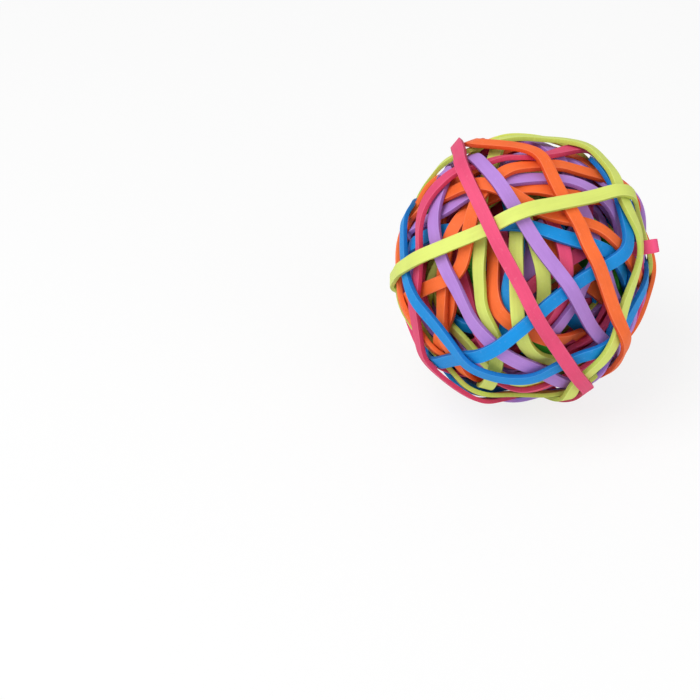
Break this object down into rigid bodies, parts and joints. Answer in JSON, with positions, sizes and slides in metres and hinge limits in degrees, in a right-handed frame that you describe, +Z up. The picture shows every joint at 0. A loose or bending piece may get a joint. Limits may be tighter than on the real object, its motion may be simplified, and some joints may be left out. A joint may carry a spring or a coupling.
{
  "type": "rubber band ball",
  "caption": "Ball of flat coloured rubber bands wound over one another round a packed middle, each band its own closed loop.",
  "frame": {"origin": "lowest level of the ball, at the middle of its outline seen from above", "axes": "+Z up; the face read from the picture looks along -Y and leans back, so the camera side is -Y and +X is to its right"},
  "size_m": [0.063, 0.0638, 0.0672],
  "materials": {
    "rubber_lime": "matte",
    "rubber_orange": "matte",
    "rubber_pink": "matte",
    "rubber_blue": "matte",
    "rubber_purple": "matte",
    "rubber_green": "matte",
    "rubber_core": "matte, dark where the packed inner bands are seen between the outer ones"
  },
  "bodies": {
    "root": {"packed_core": "rubber_core", "band_green_deep_mid": "rubber_green", "band_orange_deep_mid_right": "rubber_orange", "band_orange_far_right": "rubber_orange", "band_blue_far_right_in": "rubber_blue", "band_green_low_left": "rubber_green", "band_lime_low_left": "rubber_lime", "band_pink_low_left_in": "rubber_pink", "band_lime_low_right_in": "rubber_lime", "band_blue_bottom_in": "rubber_blue", "band_blue_top_in": "rubber_blue", "band_green_centre_in": "rubber_green", "band_purple_centre_right": "rubber_purple", "band_lime_centre_right": "rubber_lime", "band_purple_centre": "rubber_purple", "band_orange_upper_mid": "rubber_orange", "band_orange_centre_right": "rubber_orange", "band_pink_centre_right": "rubber_pink", "band_blue_lower_mid": "rubber_blue", "band_lime_lower_right": "rubber_lime", "band_pink_lower_right": "rubber_pink", "band_purple_lower_right": "rubber_purple", "band_green_left_in": "rubber_green", "band_pink_centre": "rubber_pink", "band_blue_centre": "rubber_blue", "band_orange_centre_left": "rubber_orange", "band_pink_left_in": "rubber_pink", "band_purple_bottom_left": "rubber_purple", "band_lime_bottom_in": "rubber_lime", "band_pink_top_in": "rubber_pink", "band_lime_top_in": "rubber_lime", "band_lime_centre": "rubber_lime", "band_pink_limb_lower_left": "rubber_pink", "band_purple_limb_upper_left": "rubber_purple", "band_green_far_right": "rubber_green", "band_purple_far_left": "rubber_purple", "band_orange_upper_left_limb": "rubber_orange", "band_purple_right": "rubber_purple", "band_blue_upper_mid": "rubber_blue", "band_orange_left": "rubber_orange", "band_lime_mid_left": "rubber_lime", "band_purple_upper_right": "rubber_purple", "band_blue_right_limb": "rubber_blue", "band_orange_upper": "rubber_orange", "band_orange_branch": "rubber_orange", "band_purple_left": "rubber_purple", "band_lime_bottom": "rubber_lime", "band_blue_cross": "rubber_blue", "band_pink_left": "rubber_pink", "band_purple_top": "rubber_purple", "band_blue_arc": "rubber_blue", "band_lime_right": "rubber_lime", "band_orange_right": "rubber_orange", "band_lime_across": "rubber_lime", "band_pink_top": "rubber_pink"}
  },
  "joints": []
}
